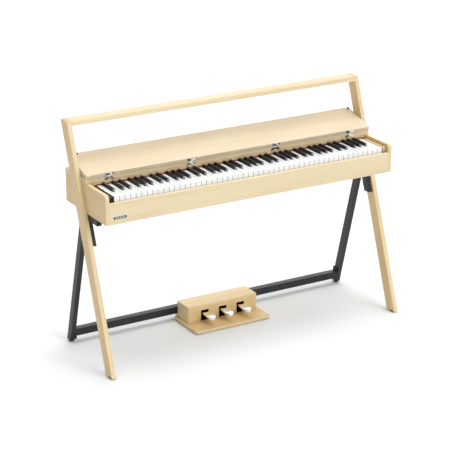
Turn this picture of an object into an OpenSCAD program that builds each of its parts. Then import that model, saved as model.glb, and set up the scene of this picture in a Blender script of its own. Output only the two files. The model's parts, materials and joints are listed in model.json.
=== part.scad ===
// Digital piano on a stand: maple case with an 88-key keyboard and a folding lid, wooden
// front legs joined by an overhead bar, a black steel frame and a three-pedal unit.
// Millimetres, +Z up, +Y towards the back, origin on the floor under the middle.
// Lengths along Y are counted from the case front and moved to the origin by placed().

/* [Case] */
// Width of the case over its side panels
case_w = 1302; // [1200:1:1400]
// Depth of the case
case_d = 347; // [280:1:420]
// Height of the case underside above the floor
case_z = 608; // [550:1:680]
// Height of the side panels
panel_h = 118; // [90:1:150]
// Thickness of the side panels
panel_t = 16; // [12:0.5:22]
// Chamfer on the front top corner of each side panel
panel_chamfer = 10; // [0:1:20]
// Height of the front rail
rail_h = 84; // [60:1:110]
// Thickness of the front rail
rail_t = 15; // [10:0.5:20]
// Thickness of the fixed top board
board_t = 18; // [12:0.5:25]
// Distance from the case front to the fixed top board
board_y = 165; // [140:1:200]

/* [Lid] */
// Width of the lid
lid_w = 1300; // [1190:1:1398]
// Length of the lid from its hinge edge to its free edge
lid_l = 162; // [140:1:200]
// Thickness of the lid
lid_t = 15; // [12:0.5:20]
// Angle the open lid has turned away from closed
lid_open = 163.5; // [120:0.5:175]
// Distance of the outer hinges from the middle
hinge_x_outer = 554; // [450:1:620]
// Distance of the inner hinges from the middle
hinge_x_inner = 194; // [100:1:300]

/* [Keyboard] */
// Distance between neighbouring white keys
key_pitch = 23.5; // [22:0.1:24]
// Height of the white key tops above the floor
key_z = 712; // [680:1:740]
// Distance of the keyboard's middle to the right of the case's middle
key_shift = 5; // [0:0.5:10]
// Gap between neighbouring keys
key_gap = 1.2; // [0.6:0.1:1.5]
// Length of the wide front part of a white key
key_head_l = 50; // [45:1:55]
// Width of a black key at its base
sharp_w = 10.8; // [9:0.1:12]
// Height of a black key above the white keys
sharp_h = 11.5; // [9:0.5:13]

/* [Wooden legs] */
// Overall height of the legs and overhead bar
leg_top_z = 946; // [850:1:1050]
// Thickness of a leg across the width of the piano
leg_t = 19; // [15:0.5:30]
// Depth of a leg measured level
leg_d = 56; // [45:1:80]
// Distance of the front foot ahead of the case front
leg_front_y = 57; // [0:1:150]
// Distance the leg leans back for each unit of height
leg_lean = 0.3585; // [0:0.01:0.5]
// Thickness of the overhead bar
bar_t = 18; // [12:1:30]

/* [Steel frame] */
// Width of the frame tube across the piano
tube_w = 20; // [15:1:40]
// Depth of the leg and stub tubes
tube_d = 30; // [20:1:50]
// Height of the level arm under the case
arm_h = 25; // [20:1:40]
// Wall of the frame tube
tube_wall = 1.5; // [1:0.1:3]
// Distance the rear leg leans back for each unit of drop
rear_lean = 0.279; // [0.1:0.01:0.5]
// Distance from the case front to the back of the rear foot
rear_foot_y = 385; // [300:1:500]
// Width and height of the crossbar tube
cross = 30; // [20:1:50]
// Height of the crossbar underside
cross_z = 28; // [15:1:80]

/* [Pedals] */
// Width of the pedal housing
pedal_box_w = 325; // [250:1:400]
// Depth of the pedal housing
pedal_box_d = 93; // [70:1:130]
// Height of the pedal housing top above the floor
pedal_box_top = 85; // [70:1:110]
// Distance between neighbouring pedals
pedal_pitch = 85; // [60:1:110]
// Distance of the pedal unit to the right of the piano's middle
pedal_shift = -2; // [-20:1:20]
// Width of a pedal at its tip
pedal_w = 32; // [18:1:36]

/* [Hidden] */
$fn = 32;
// Hair of extra length that lets cutters pass clean through a face
eps = 1;
half_w = case_w / 2;
inner_x = half_w - panel_t;
leg_x = half_w + leg_t;
panel_top = case_z + panel_h;
board_top = panel_top + board_t;
back_t = 12;
floor_t = 12;
floor_top = case_z + floor_t;
back_y = case_d - back_t;
// Feet
glide_h = 6;
glide_r = 9;
pad_h = 3;
pad_r = 10;
// Middle of the footprint along Y
y_mid = (rear_foot_y - leg_front_y) / 2;
// Keyboard
white_count = 52;
keys_x = key_shift - white_count * key_pitch / 2;
keys_end = keys_x + white_count * key_pitch;
key_y = 18;
white_back_y = 170;
black_back_y = 163.5;
key_end_y = 272;
pivot_y = 262;
pivot_z = 700;
pivot_r = 1.5;
pivot_clear = 0.07;
white_h = 18;
white_cap = 3;
white_lip = 1.2;
apron_t = 4;
apron_h = 27;
arm_top = 708;
arm_bottom = 694;
sharp_gap = 0.9;
sharp_taper = 0.9;
sharp_slope = 5;
sharp_bottom = 696;
mid_first = 23;
mid_last = 29;
// Shift of each black key from the joint on its left white key's right side, A to G
sharp_shift = [3.4, undef, -2.6, 2.6, undef, -3.4, 0];
// Pieces around the keys
fall_y = board_y + 3;
fall_z = key_z + 2;
block_w = inner_x + keys_x - 1.5;
cheek_w = inner_x - keys_end - 5;
cushion_z = 681;
sensor_z = 674;
rod_end = 5;
end_gap = 0.6;
badge_x = -621;
badge_z = 627;
// Lid hinges
leaf_t = 1.2;
leaf_gap = 2.8;
hinge_y = board_y - leaf_gap / 2;
hinge_z = board_top + 0.4;
knuckle_r = 2.4;
knuckle_mid = 6;
knuckle_len = 16;
knuckle_slack = 0.3;
hinge_pin_r = 1.2;
hinge_pin_clear = 0.05;
lobe_x = 15;
lobe_drop = 11.2;
lobe_r = 5.6;
screw_r = 1.6;
screw_head_r = 3;
screw_l = 13;
notch_d = 2.7;
notch_w = knuckle_len + 1.4;
lid_back = hinge_y - leaf_gap / 2;
peg_r = 3;
peg_cap_r = 4.5;
peg_cap_h = 6;
peg_h = 17;
peg_x = inner_x - 7;
peg_y = 26;
hinge_xs = [-hinge_x_outer, -hinge_x_inner, hinge_x_inner, hinge_x_outer];
// Steel frame
arm_y0 = 80;
arm_y1 = 226;
arm_z = case_z - arm_h;
leg_run = tube_d * 1.04;
stub_run = tube_d * 1.06;
stub_inset = (leg_d - stub_run) / 2;
stub_low = 487;
frame_in = half_w - tube_w;
cross_y = 343;
plate_t = 4;
plate_z0 = 14;
plate_h = 62;
cross_bolt_z = [21, 69];
bolt_r = 3;
bolt_hole_r = 3.1;
bolt_head_r = 5.5;
bolt_head_h = 3.3;
case_bolt_y = [98, 142];
leg_bolt_z = [512, 556];
leg_bolt_l = tube_w + 12;
cap_t = 2;
cap_plug = 12;
// Electronics
speaker_x = 400;
speaker_y = 202;
speaker_hole_r = 38;
jack_x0 = -126;
jack_w = 206;
jack_z = 640;
jack_h = 56;
jack_mid_z = jack_z + jack_h / 2;
jack_plate_t = 2;
phone_x = [-80, -54];
phone_r = 3.2;
inlet_x = 58;
inlet_r = 2.8;
usb_x = 24;
button_x = -8;
button_r = 5.5;
knob_x = -32;
knob_r = 7;
knob_stem_r = 3;
// Pedal unit
pedal_y = cross_y - pedal_box_d;
base_w = 353;
base_y = 158;
base_back = 352;
base_t = 12;
base_r = 10;
base_top = pad_h + base_t;
box_wall = 12;
slot_w = 36;
slot_z0 = 15.5;
slot_z1 = 62;
guide_wall = 2;
guide_l = 42;
pedal_tip_y = 174;
pedal_drop = 2.5;
pedal_z = 47;
pedal_t = 8;
pedal_stem_w = 28;
pedal_head_y = 243;
pedal_swell = 5;
shaft_y = 318;
shaft_z = pedal_z + pedal_t / 2;
shaft_r = 3;
shaft_clear = 0.06;
lug_x = 132;
lug_t = 3;

maple = [0.90, 0.80, 0.62];
black_steel = [0.13, 0.14, 0.14];
white_gloss = [0.95, 0.95, 0.93];
black_plastic = [0.05, 0.05, 0.05];
silver = [0.8, 0.8, 0.82];
red_felt = [0.45, 0.07, 0.08];
board_green = [0.1, 0.35, 0.2];
rubber_black = [0.08, 0.08, 0.08];

// ---------- helpers ----------

// Moves case coordinates to the middle of the footprint
module placed() {
    translate([0, -y_mid, 0]) children();
}

// Box between two corners
module span(a, b) {
    translate(a) cube([b[0] - a[0], b[1] - a[1], b[2] - a[2]]);
}

// Extrudes a Y-Z outline along X from x0 to x1
module along_x(x0, x1) {
    translate([x0, 0, 0]) rotate([90, 0, 90]) linear_extrude(height = x1 - x0) children();
}

// Cylinder along X, Y or Z starting at a point
module rod_x(p, r, l) {
    translate(p) rotate([0, 90, 0]) cylinder(r = r, h = l);
}

module rod_y(p, r, l) {
    translate(p) rotate([-90, 0, 0]) cylinder(r = r, h = l);
}

module rod_z(p, r, l) {
    translate(p) cylinder(r = r, h = l);
}

// Rectangle with round corners, as a 2D outline
module round_rect(w, d, r) {
    translate([r, 0]) square([w - 2 * r, d]);
    translate([0, r]) square([w, d - 2 * r]);
    for (x = [r, w - r], y = [r, d - r]) translate([x, y]) circle(r = r);
}

// Both sides of the piano
module both_sides() {
    children();
    mirror([1, 0, 0]) children();
}

// Turns the lid from closed to its open rest angle
module lid_pose() {
    translate([0, hinge_y, hinge_z]) rotate([-lid_open, 0, 0])
        translate([0, -hinge_y, -hinge_z]) children();
}

// ---------- case ----------

module side_panel() {
    along_x(inner_x, half_w) polygon([
        [0, case_z], [case_d, case_z], [case_d, panel_top],
        [panel_chamfer, panel_top], [0, panel_top - panel_chamfer]]);
}

module side_panel_right() color(maple) placed() {
    side_panel();
}

module side_panel_left() color(maple) placed() mirror([1, 0, 0]) {
    side_panel();
}

module front_rail() color(maple) placed() {
    soft = 2.5;
    along_x(-inner_x, inner_x) {
        translate([0, case_z]) square([rail_t, rail_h - soft]);
        translate([soft, case_z]) square([rail_t - 2 * soft, rail_h]);
        for (y = [soft, rail_t - soft])
            translate([y, case_z + rail_h - soft]) circle(r = soft);
    }
}

module top_board() color(maple) placed() {
    difference() {
        span([-half_w, board_y, panel_top], [half_w, case_d, board_top]);
        for (x = hinge_xs) {
            span([x - notch_w / 2, board_y - eps, board_top - notch_d],
                [x + notch_w / 2, board_y + notch_d, board_top + eps]);
            for (side = [-1, 1]) rod_y([x + side * lobe_x, board_y - eps,
                hinge_z - lobe_drop], screw_r, screw_l + eps);
        }
    }
}

module fallboard() color(maple) placed() {
    span([-inner_x, fall_y, fall_z], [inner_x, fall_y + 12, panel_top]);
}

module key_felt() color(red_felt) placed() {
    span([keys_x, fall_y - 3, fall_z], [keys_end, fall_y, fall_z + 3.5]);
}

module back_panel() color(maple) placed() {
    difference() {
        span([-inner_x, back_y, case_z], [inner_x, case_d, panel_top]);
        span([jack_x0 + 8, back_y - eps, jack_z + 8],
            [jack_x0 + jack_w - 8, case_d + eps, jack_z + jack_h - 8]);
    }
}

module bottom_board() color(maple) placed() {
    difference() {
        span([-inner_x, rail_t, case_z], [inner_x, back_y, floor_top]);
        for (x = [-speaker_x, speaker_x])
            rod_z([x, speaker_y, case_z - eps], speaker_hole_r, floor_t + 2 * eps);
    }
}

module end_block_left() color(black_plastic) placed() {
    span([-inner_x, key_y, key_z - 20], [-inner_x + block_w, fall_y, key_z - 1]);
}

module end_block_right() color(maple) placed() {
    span([inner_x - cheek_w, key_y + 2, key_z - 20], [inner_x, fall_y, key_z - 0.5]);
}

// ---------- keyboard inside the case ----------

// Open-bottomed channel running the width of the keyboard
module channel(y0, y1, top) {
    wall = 3;
    difference() {
        span([keys_x, y0, floor_top], [keys_end, y1, top]);
        span([keys_x + wall, y0 + wall, floor_top - eps], [keys_end - wall, y1 - wall, top - wall]);
    }
}

module key_bed() color(black_steel) placed() {
    channel(30, 56, cushion_z);
    channel(96, 152, sensor_z);
    channel(pivot_y - 12, pivot_y + 14, 688);
    for (x = [keys_x - end_gap - rod_end, keys_end + end_gap]) difference() {
        span([x, pivot_y - 12, floor_top], [x + rod_end, pivot_y + 14, 708]);
        rod_x([x - eps, pivot_y, pivot_z], pivot_r + 0.02, rod_end + 2 * eps);
    }
}

module key_pivot_rod() color(silver) placed() {
    rod_x([keys_x - rod_end, pivot_y, pivot_z], pivot_r, keys_end - keys_x + 2 * rod_end);
}

module circuit_boards() color(board_green) placed() {
    board = 1.6;
    main_z = floor_top + 6;
    span([keys_x + 4, 100, sensor_z], [keys_end - 4, 148, sensor_z + board]);
    for (y = [112, 132])
        span([keys_x + 6, y, sensor_z + board], [keys_end - 6, y + 8, sensor_z + board + 6]);
    span([jack_x0 - 20, 283, main_z], [jack_x0 + jack_w + 20, 326, main_z + board]);
    for (x = [jack_x0, jack_x0 + jack_w], y = [288, 320]) rod_z([x, y, floor_top], 3, 6);
    span([-40, 292, main_z + board], [-12, 318, main_z + 4]);
    span([20, 296, main_z + board], [34, 310, main_z + 6]);
}

module speakers() color(black_steel) placed() {
    flange_r = 43;
    for (x = [-speaker_x, speaker_x]) translate([x, speaker_y, floor_top])
        rotate_extrude() polygon([
            [12, 8], [36, 1.5], [36, 0], [flange_r, 0], [flange_r, 2], [38, 2.5], [24, 24],
            [24, 38], [0, 38], [0, 12], [8, 14]]);
}

module speaker_grilles() color(black_steel) placed() {
    for (x = [-speaker_x, speaker_x]) translate([x, speaker_y, case_z - 1.2]) difference() {
        cylinder(r = speaker_hole_r + 6, h = 1.2);
        for (ring = [1:5], i = [0:6 * ring - 1]) rotate([0, 0, 60 * i / ring])
            translate([6.4 * ring, 0, -eps]) cylinder(r = 1.8, h = 1.2 + 2 * eps);
    }
}

// ---------- sockets and controls on the back ----------

module jack_panel() color(black_steel) placed() {
    difference() {
        span([jack_x0, case_d, jack_z], [jack_x0 + jack_w, case_d + jack_plate_t, jack_z + jack_h]);
        for (x = phone_x)
            rod_y([x, case_d - eps, jack_mid_z], phone_r + 2, jack_plate_t + 2 * eps);
        rod_y([inlet_x, case_d - eps, jack_mid_z], inlet_r + 2.2, jack_plate_t + 2 * eps);
        span([usb_x - 6.2, case_d - eps, jack_mid_z - 5.7], [usb_x + 6.2, case_d + 4, jack_mid_z + 5.7]);
        rod_y([button_x, case_d - eps, jack_mid_z], button_r + 0.5, jack_plate_t + 2 * eps);
        rod_y([knob_x, case_d - eps, jack_mid_z], knob_stem_r + 0.06, jack_plate_t + 2 * eps);
    }
}

module jack_sockets() color(black_plastic) placed() {
    depth = 16;
    for (x = phone_x) difference() {
        union() {
            rod_y([x, case_d - depth, jack_mid_z], phone_r + 1.9, depth + 3);
            span([x - 8, case_d - depth, jack_mid_z - 8], [x + 8, case_d - 1, jack_mid_z + 8]);
        }
        rod_y([x, case_d - depth + 3, jack_mid_z], phone_r, depth + eps);
    }
    difference() {
        union() {
            rod_y([inlet_x, case_d - depth, jack_mid_z], inlet_r + 2.1, depth + 3);
            span([inlet_x - 7, case_d - depth, jack_mid_z - 7], [inlet_x + 7, case_d - 1, jack_mid_z + 7]);
        }
        rod_y([inlet_x, case_d - depth + 3, jack_mid_z], inlet_r, depth + eps);
    }
    difference() {
        span([usb_x - 6, case_d - depth, jack_mid_z - 5.5], [usb_x + 6, case_d + 2.5, jack_mid_z + 5.5]);
        span([usb_x - 4.2, case_d - depth + 5, jack_mid_z - 4], [usb_x + 4.2, case_d + 4, jack_mid_z + 4]);
    }
}

module power_button() color(black_plastic) placed() {
    rod_y([button_x, case_d - 6, jack_mid_z], button_r, 6 + jack_plate_t + 3);
}

module volume_knob() color(black_plastic) placed() {
    difference() {
        union() {
            rod_y([knob_x, case_d + jack_plate_t + 0.6, jack_mid_z], knob_r, 11);
            rod_y([knob_x, case_d - 5, jack_mid_z], knob_stem_r, 8);
        }
        span([knob_x - 0.6, case_d + jack_plate_t + 10.6, jack_mid_z + 1],
            [knob_x + 0.6, case_d + jack_plate_t + 13, jack_mid_z + knob_r + eps]);
    }
}

module badge() color(silver) placed() {
    translate([badge_x, 0, badge_z]) rotate([90, 0, 0]) linear_extrude(height = 1.2)
        round_rect(58, 13, 2);
}

// ---------- lid and hinges ----------

// Pin holes and knuckle slots are measured with the lid closed
module lid_board() color(maple) placed() lid_pose() {
    difference() {
        span([-lid_w / 2, lid_back - lid_l, board_top - lid_t], [lid_w / 2, lid_back, board_top]);
        for (x = hinge_xs) {
            span([x - notch_w / 2, lid_back - notch_d, board_top - notch_d],
                [x + notch_w / 2, lid_back + eps, board_top + eps]);
            for (side = [-1, 1]) rod_y([x + side * lobe_x, lid_back - screw_l,
                hinge_z - lobe_drop], screw_r, screw_l + eps);
        }
    }
}

module lid_bumpers() color(rubber_black) placed() lid_pose() {
    for (x = [-peg_x, peg_x]) {
        rod_z([x, peg_y, board_top - lid_t - peg_h], peg_cap_r, peg_cap_h);
        rod_z([x, peg_y, board_top - lid_t - peg_h], peg_r, peg_h);
    }
}

// Butterfly leaf outline around the pin line, hanging down from it
module leaf_outline() {
    difference() {
        union() {
            for (side = [-1, 1]) translate([side * lobe_x, -lobe_drop]) circle(r = lobe_r);
            polygon([[-knuckle_len / 2, 0], [knuckle_len / 2, 0], [lobe_x + 3, 4.6 - lobe_drop],
                [lobe_x - 1, -lobe_drop - 4.8], [0, -9.5], [1 - lobe_x, -lobe_drop - 4.8],
                [-lobe_x - 3, 4.6 - lobe_drop]]);
        }
        for (side = [-1, 1]) translate([side * lobe_x, -lobe_drop]) circle(r = screw_r);
    }
}

// Cone cut for the flush screw heads in a leaf lying on the plane y = 0, head towards -y
module head_cone(x) {
    translate([x, 0, -lobe_drop]) rotate([-90, 0, 0])
        cylinder(r1 = screw_head_r, r2 = screw_r, h = leaf_t);
}

module fixed_leaf() {
    slot = knuckle_mid / 2 + knuckle_slack;
    difference() {
        union() {
            translate([0, leaf_gap / 2, 0]) rotate([90, 0, 0])
                linear_extrude(height = leaf_t) leaf_outline();
            rod_x([-knuckle_len / 2, 0, 0], knuckle_r, knuckle_len);
        }
        span([-slot, -5, -3], [slot, 5, 5]);
        for (side = [-1, 1]) translate([0, leaf_gap / 2 - leaf_t, 0]) head_cone(side * lobe_x);
    }
    rod_x([-knuckle_len / 2, 0, 0], hinge_pin_r, knuckle_len);
}

module moving_leaf() {
    slot = knuckle_mid / 2;
    difference() {
        union() {
            translate([0, leaf_t - leaf_gap / 2, 0]) rotate([90, 0, 0])
                linear_extrude(height = leaf_t) leaf_outline();
            rod_x([-slot, 0, 0], knuckle_r, knuckle_mid);
        }
        both_sides() span([slot, -5, -3], [knuckle_len / 2 + eps, 5, 5]);
        rod_x([-knuckle_mid, 0, 0], hinge_pin_r + hinge_pin_clear, 2 * knuckle_mid);
        for (side = [-1, 1]) translate([0, leaf_t - leaf_gap / 2, 0]) mirror([0, 1, 0])
            head_cone(side * lobe_x);
    }
}

// Flush screw with its head face on y = 0 and its shank towards +y
module hinge_screw() {
    rotate([-90, 0, 0]) cylinder(r1 = screw_head_r, r2 = screw_r, h = leaf_t);
    rod_y([0, leaf_t, 0], screw_r, screw_l - leaf_t);
}

module board_hinge_leaves() color(silver) placed() {
    for (x = hinge_xs) translate([x, hinge_y, hinge_z]) fixed_leaf();
}

module board_screws() color(silver) placed() {
    for (x = hinge_xs, side = [-1, 1])
        translate([x + side * lobe_x, board_y - leaf_t, hinge_z - lobe_drop]) hinge_screw();
}

module lid_hinge_leaves() color(silver) placed() lid_pose() {
    for (x = hinge_xs) translate([x, hinge_y, hinge_z]) moving_leaf();
}

module lid_screws() color(silver) placed() lid_pose() {
    for (x = hinge_xs, side = [-1, 1])
        translate([x + side * lobe_x, lid_back + leaf_t, hinge_z - lobe_drop])
            mirror([0, 1, 0]) hinge_screw();
}

// ---------- keys ----------

// Letter of a white key counted from the lowest A: 0 is A, 6 is G
function letter(i) = i % 7;
function has_sharp(i) = sharp_shift[letter(i)] != undef && i < white_count - 1;
function sharp_x(i) = keys_x + (i + 1) * key_pitch + sharp_shift[letter(i)];
function white_left(i) = keys_x + i * key_pitch + key_gap / 2;
function white_right(i) = keys_x + (i + 1) * key_pitch - key_gap / 2;
function tail_left(i) = i > 0 && has_sharp(i - 1)
    ? sharp_x(i - 1) + sharp_w / 2 + sharp_gap : white_left(i);
function tail_right(i) = has_sharp(i)
    ? sharp_x(i) - sharp_w / 2 - sharp_gap : white_right(i);

// Outline of a white key seen from above, from y0 to y1
module white_outline(i, y0, y1) {
    head_y = key_y + key_head_l;
    translate([white_left(i), y0]) square([white_right(i) - white_left(i), head_y - y0]);
    translate([tail_left(i), head_y - eps])
        square([tail_right(i) - tail_left(i), y1 - head_y + eps]);
}

module white_key(i) {
    difference() {
        union() {
            translate([0, 0, key_z - white_h]) linear_extrude(height = white_h - white_cap)
                white_outline(i, key_y + white_lip, white_back_y);
            translate([0, 0, key_z - white_cap]) linear_extrude(height = white_cap)
                white_outline(i, key_y, white_back_y);
            span([white_left(i), key_y + white_lip, key_z - apron_h],
                [white_right(i), key_y + white_lip + apron_t, key_z - white_cap]);
            span([tail_left(i), white_back_y - eps, arm_bottom], [tail_right(i), key_end_y, arm_top]);
        }
        rod_x([tail_left(i) - eps, pivot_y, pivot_z], pivot_r + pivot_clear,
            tail_right(i) - tail_left(i) + 2 * eps);
    }
}

module black_key(i) {
    x = sharp_x(i);
    y0 = key_y + key_head_l + 1;
    top = key_z + sharp_h;
    difference() {
        union() {
            intersection() {
                along_x(x - sharp_w / 2, x + sharp_w / 2) polygon([
                    [y0, sharp_bottom], [y0, key_z - 1], [y0 + sharp_slope, top - 1],
                    [y0 + sharp_slope + 1.5, top], [black_back_y, top], [black_back_y, sharp_bottom]]);
                translate([x, black_back_y + eps, 0]) rotate([90, 0, 0])
                    linear_extrude(height = black_back_y) polygon([
                        [-sharp_w / 2, sharp_bottom], [sharp_w / 2, sharp_bottom],
                        [sharp_w / 2, key_z - 2], [sharp_w / 2 - sharp_taper, top],
                        [sharp_taper - sharp_w / 2, top], [-sharp_w / 2, key_z - 2]]);
            }
            span([x - sharp_w / 2, black_back_y - eps, sharp_bottom],
                [x + sharp_w / 2, key_end_y, arm_top]);
        }
        rod_x([x - sharp_w, pivot_y, pivot_z], pivot_r + pivot_clear, 2 * sharp_w);
    }
}

module whites(first, last) {
    for (i = [first:last]) white_key(i);
}

module blacks(first, last) {
    for (i = [first:last]) if (has_sharp(i)) black_key(i);
}

module bass_white_keys() color(white_gloss) placed() {
    whites(0, mid_first - 1);
}

module treble_white_keys() color(white_gloss) placed() {
    whites(mid_last + 1, white_count - 1);
}

module bass_black_keys() color(black_plastic) placed() {
    blacks(0, mid_first - 1);
}

module treble_black_keys() color(black_plastic) placed() {
    blacks(mid_last + 1, white_count - 1);
}

module key_c4() color(white_gloss) placed() white_key(mid_first);
module key_d4() color(white_gloss) placed() white_key(mid_first + 1);
module key_e4() color(white_gloss) placed() white_key(mid_first + 2);
module key_f4() color(white_gloss) placed() white_key(mid_first + 3);
module key_g4() color(white_gloss) placed() white_key(mid_first + 4);
module key_a4() color(white_gloss) placed() white_key(mid_first + 5);
module key_b4() color(white_gloss) placed() white_key(mid_first + 6);
module key_c4_sharp() color(black_plastic) placed() black_key(mid_first);
module key_d4_sharp() color(black_plastic) placed() black_key(mid_first + 1);
module key_f4_sharp() color(black_plastic) placed() black_key(mid_first + 3);
module key_g4_sharp() color(black_plastic) placed() black_key(mid_first + 4);
module key_a4_sharp() color(black_plastic) placed() black_key(mid_first + 5);

// ---------- wooden legs ----------

// Y of the leg's front line at a height
function leg_y(z) = -leg_front_y + leg_lean * (z - glide_h);

module leg_profile(z0, z1) {
    polygon([[leg_y(z0), z0], [leg_y(z0) + leg_d, z0], [leg_y(z1) + leg_d, z1], [leg_y(z1), z1]]);
}

module front_leg() {
    difference() {
        along_x(half_w, leg_x) leg_profile(glide_h, leg_top_z);
        for (z = leg_bolt_z) rod_x([half_w - eps, leg_y(z) + stub_inset + stub_run / 2, z],
            bolt_r, leg_bolt_l - tube_w + eps);
    }
}

module front_leg_right() color(maple) placed() {
    front_leg();
}

module front_leg_left() color(maple) placed() mirror([1, 0, 0]) {
    front_leg();
}

module top_bar() color(maple) placed() {
    along_x(-half_w, half_w) leg_profile(leg_top_z - bar_t, leg_top_z);
}

// ---------- steel frame ----------

// Y of the rear leg's back line at a height
function rear_y(z) = rear_foot_y - rear_lean * (z - glide_h);

// Slanted tube outline between two heights, with its walls set in by w
module rear_profile(z0, z1, w) {
    polygon([[rear_y(z0) - leg_run + w, z0], [rear_y(z0) - w, z0],
        [rear_y(z1) - w, z1], [rear_y(z1) - leg_run + w, z1]]);
}

module stub_profile(z0, z1, w) {
    y0 = leg_y(z0) + stub_inset;
    y1 = leg_y(z1) + stub_inset;
    polygon([[y0 + w, z0], [y0 + stub_run - w, z0], [y1 + stub_run - w, z1], [y1 + w, z1]]);
}

module side_frame() {
    join = arm_z + tube_wall / 2;
    bolt_mid = frame_in + tube_w / 2;
    difference() {
        union() {
            span([frame_in, arm_y0, arm_z], [half_w, arm_y1, case_z]);
            along_x(frame_in, half_w) rear_profile(glide_h, join, 0);
            along_x(frame_in, half_w) stub_profile(stub_low, join, 0);
        }
        span([frame_in + tube_wall, arm_y0 - eps, arm_z + tube_wall],
            [half_w - tube_wall, arm_y1 + eps, case_z - tube_wall]);
        along_x(frame_in + tube_wall, half_w - tube_wall)
            rear_profile(glide_h - eps, arm_z - tube_wall, tube_wall);
        along_x(frame_in + tube_wall, half_w - tube_wall)
            stub_profile(stub_low - eps, arm_z - tube_wall, tube_wall);
        for (y = case_bolt_y) rod_z([bolt_mid, y, arm_z - eps], bolt_hole_r, arm_h + 2 * eps);
        for (z = leg_bolt_z) rod_x([frame_in - eps, leg_y(z) + stub_inset + stub_run / 2, z],
            bolt_hole_r, tube_w + 2 * eps);
        for (z = cross_bolt_z) rod_x([frame_in - eps, cross_y + cross / 2, z],
            bolt_hole_r, tube_wall + 2 * eps);
    }
}

module side_frame_right() color(black_steel) placed() {
    side_frame();
}

module side_frame_left() color(black_steel) placed() mirror([1, 0, 0]) {
    side_frame();
}

module crossbar() color(black_steel) placed() {
    end_x = frame_in - plate_t;
    difference() {
        span([-end_x, cross_y, cross_z], [end_x, cross_y + cross, cross_z + cross]);
        span([-end_x - eps, cross_y + tube_wall, cross_z + tube_wall],
            [end_x + eps, cross_y + cross - tube_wall, cross_z + cross - tube_wall]);
    }
}

module crossbar_plates() color(black_steel) placed() both_sides() difference() {
    end_x = frame_in - plate_t;
    span([end_x, cross_y, plate_z0], [frame_in, cross_y + cross, plate_z0 + plate_h]);
    for (z = cross_bolt_z) rod_x([end_x - eps, cross_y + cross / 2, z], bolt_hole_r,
        plate_t + 2 * eps);
}

// Button-head bolts, all with their heads on the inside or underneath
module stand_bolts() color(black_steel) placed() both_sides() {
    for (y = case_bolt_y) {
        rod_z([frame_in + tube_w / 2, y, arm_z - bolt_head_h], bolt_head_r, bolt_head_h);
        rod_z([frame_in + tube_w / 2, y, arm_z], bolt_r, arm_h);
    }
    for (z = leg_bolt_z) {
        y = leg_y(z) + stub_inset + stub_run / 2;
        rod_x([frame_in - bolt_head_h, y, z], bolt_head_r, bolt_head_h);
        rod_x([frame_in, y, z], bolt_r, leg_bolt_l - 1);
    }
    for (z = cross_bolt_z) {
        y = cross_y + cross / 2;
        x = frame_in - plate_t;
        rod_x([x - bolt_head_h, y, z], bolt_head_r, bolt_head_h);
        rod_x([x, y, z], bolt_r, plate_t + tube_wall + 6);
    }
}

// Plastic plugs in the open ends of the arms, stubs and rear legs
module tube_caps() color(black_plastic) placed() both_sides() {
    plug_x0 = frame_in + tube_wall;
    plug_x1 = half_w - tube_wall;
    for (end = [[arm_y0 - cap_t, arm_y0 + cap_plug, arm_y0], [arm_y1 - cap_plug, arm_y1 + cap_t, arm_y1]]) {
        span([plug_x0, end[0], arm_z + tube_wall], [plug_x1, end[1], case_z - tube_wall]);
    }
    span([frame_in, arm_y0 - cap_t, arm_z], [half_w, arm_y0, case_z]);
    span([frame_in, arm_y1, arm_z], [half_w, arm_y1 + cap_t, case_z]);
    along_x(plug_x0, plug_x1) stub_profile(stub_low, stub_low + cap_plug, tube_wall);
    along_x(frame_in, half_w) stub_profile(stub_low - cap_t, stub_low, 0);
    along_x(plug_x0, plug_x1) rear_profile(glide_h, glide_h + cap_plug, tube_wall);
}

module foot_glides() color(rubber_black) placed() {
    both_sides() {
        rod_z([half_w + leg_t / 2, leg_y(glide_h) + leg_d / 2, 0], glide_r, glide_h);
        rod_z([frame_in + tube_w / 2, rear_foot_y - leg_run / 2, 0], glide_r, glide_h);
    }
    for (x = [-base_w / 2 + 20, base_w / 2 - 20], y = [base_y + 20, base_back - 20])
        rod_z([x + pedal_shift, y, 0], pad_r, pad_h);
}

// ---------- pedal unit ----------

module pedal_base() color(maple) placed() {
    translate([pedal_shift - base_w / 2, base_y, pad_h]) linear_extrude(height = base_t)
        round_rect(base_w, base_back - base_y, base_r);
}

module pedal_box() color(maple) placed() translate([pedal_shift, 0, 0]) {
    soft = 4;
    x = pedal_box_w / 2;
    toe = 16;
    toe_h = 12;
    difference() {
        along_x(-x, x) {
            translate([pedal_y, base_top]) square([pedal_box_d, pedal_box_top - base_top - soft]);
            translate([pedal_y + soft, base_top]) square([pedal_box_d - soft, pedal_box_top - base_top]);
            translate([pedal_y + soft, pedal_box_top - soft]) circle(r = soft);
            translate([cross_y - eps, base_top]) square([toe + eps, toe_h]);
        }
        span([box_wall - x, pedal_y + box_wall, base_top - eps],
            [x - box_wall, cross_y - box_wall / 2, pedal_box_top - box_wall]);
        for (i = [-1:1]) span([i * pedal_pitch - slot_w / 2, pedal_y - eps, slot_z0],
            [i * pedal_pitch + slot_w / 2, pedal_y + box_wall + eps, slot_z1]);
    }
}

module pedal_guides() color(black_plastic) placed() translate([pedal_shift, 0, 0]) {
    for (i = [-1:1]) translate([i * pedal_pitch, pedal_y + 0.6, 0]) difference() {
        span([-slot_w / 2, 0, slot_z0], [slot_w / 2, guide_l, slot_z1]);
        span([guide_wall - slot_w / 2, -eps, slot_z0 + guide_wall],
            [slot_w / 2 - guide_wall, guide_l + eps, slot_z1 - guide_wall]);
    }
}

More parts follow.
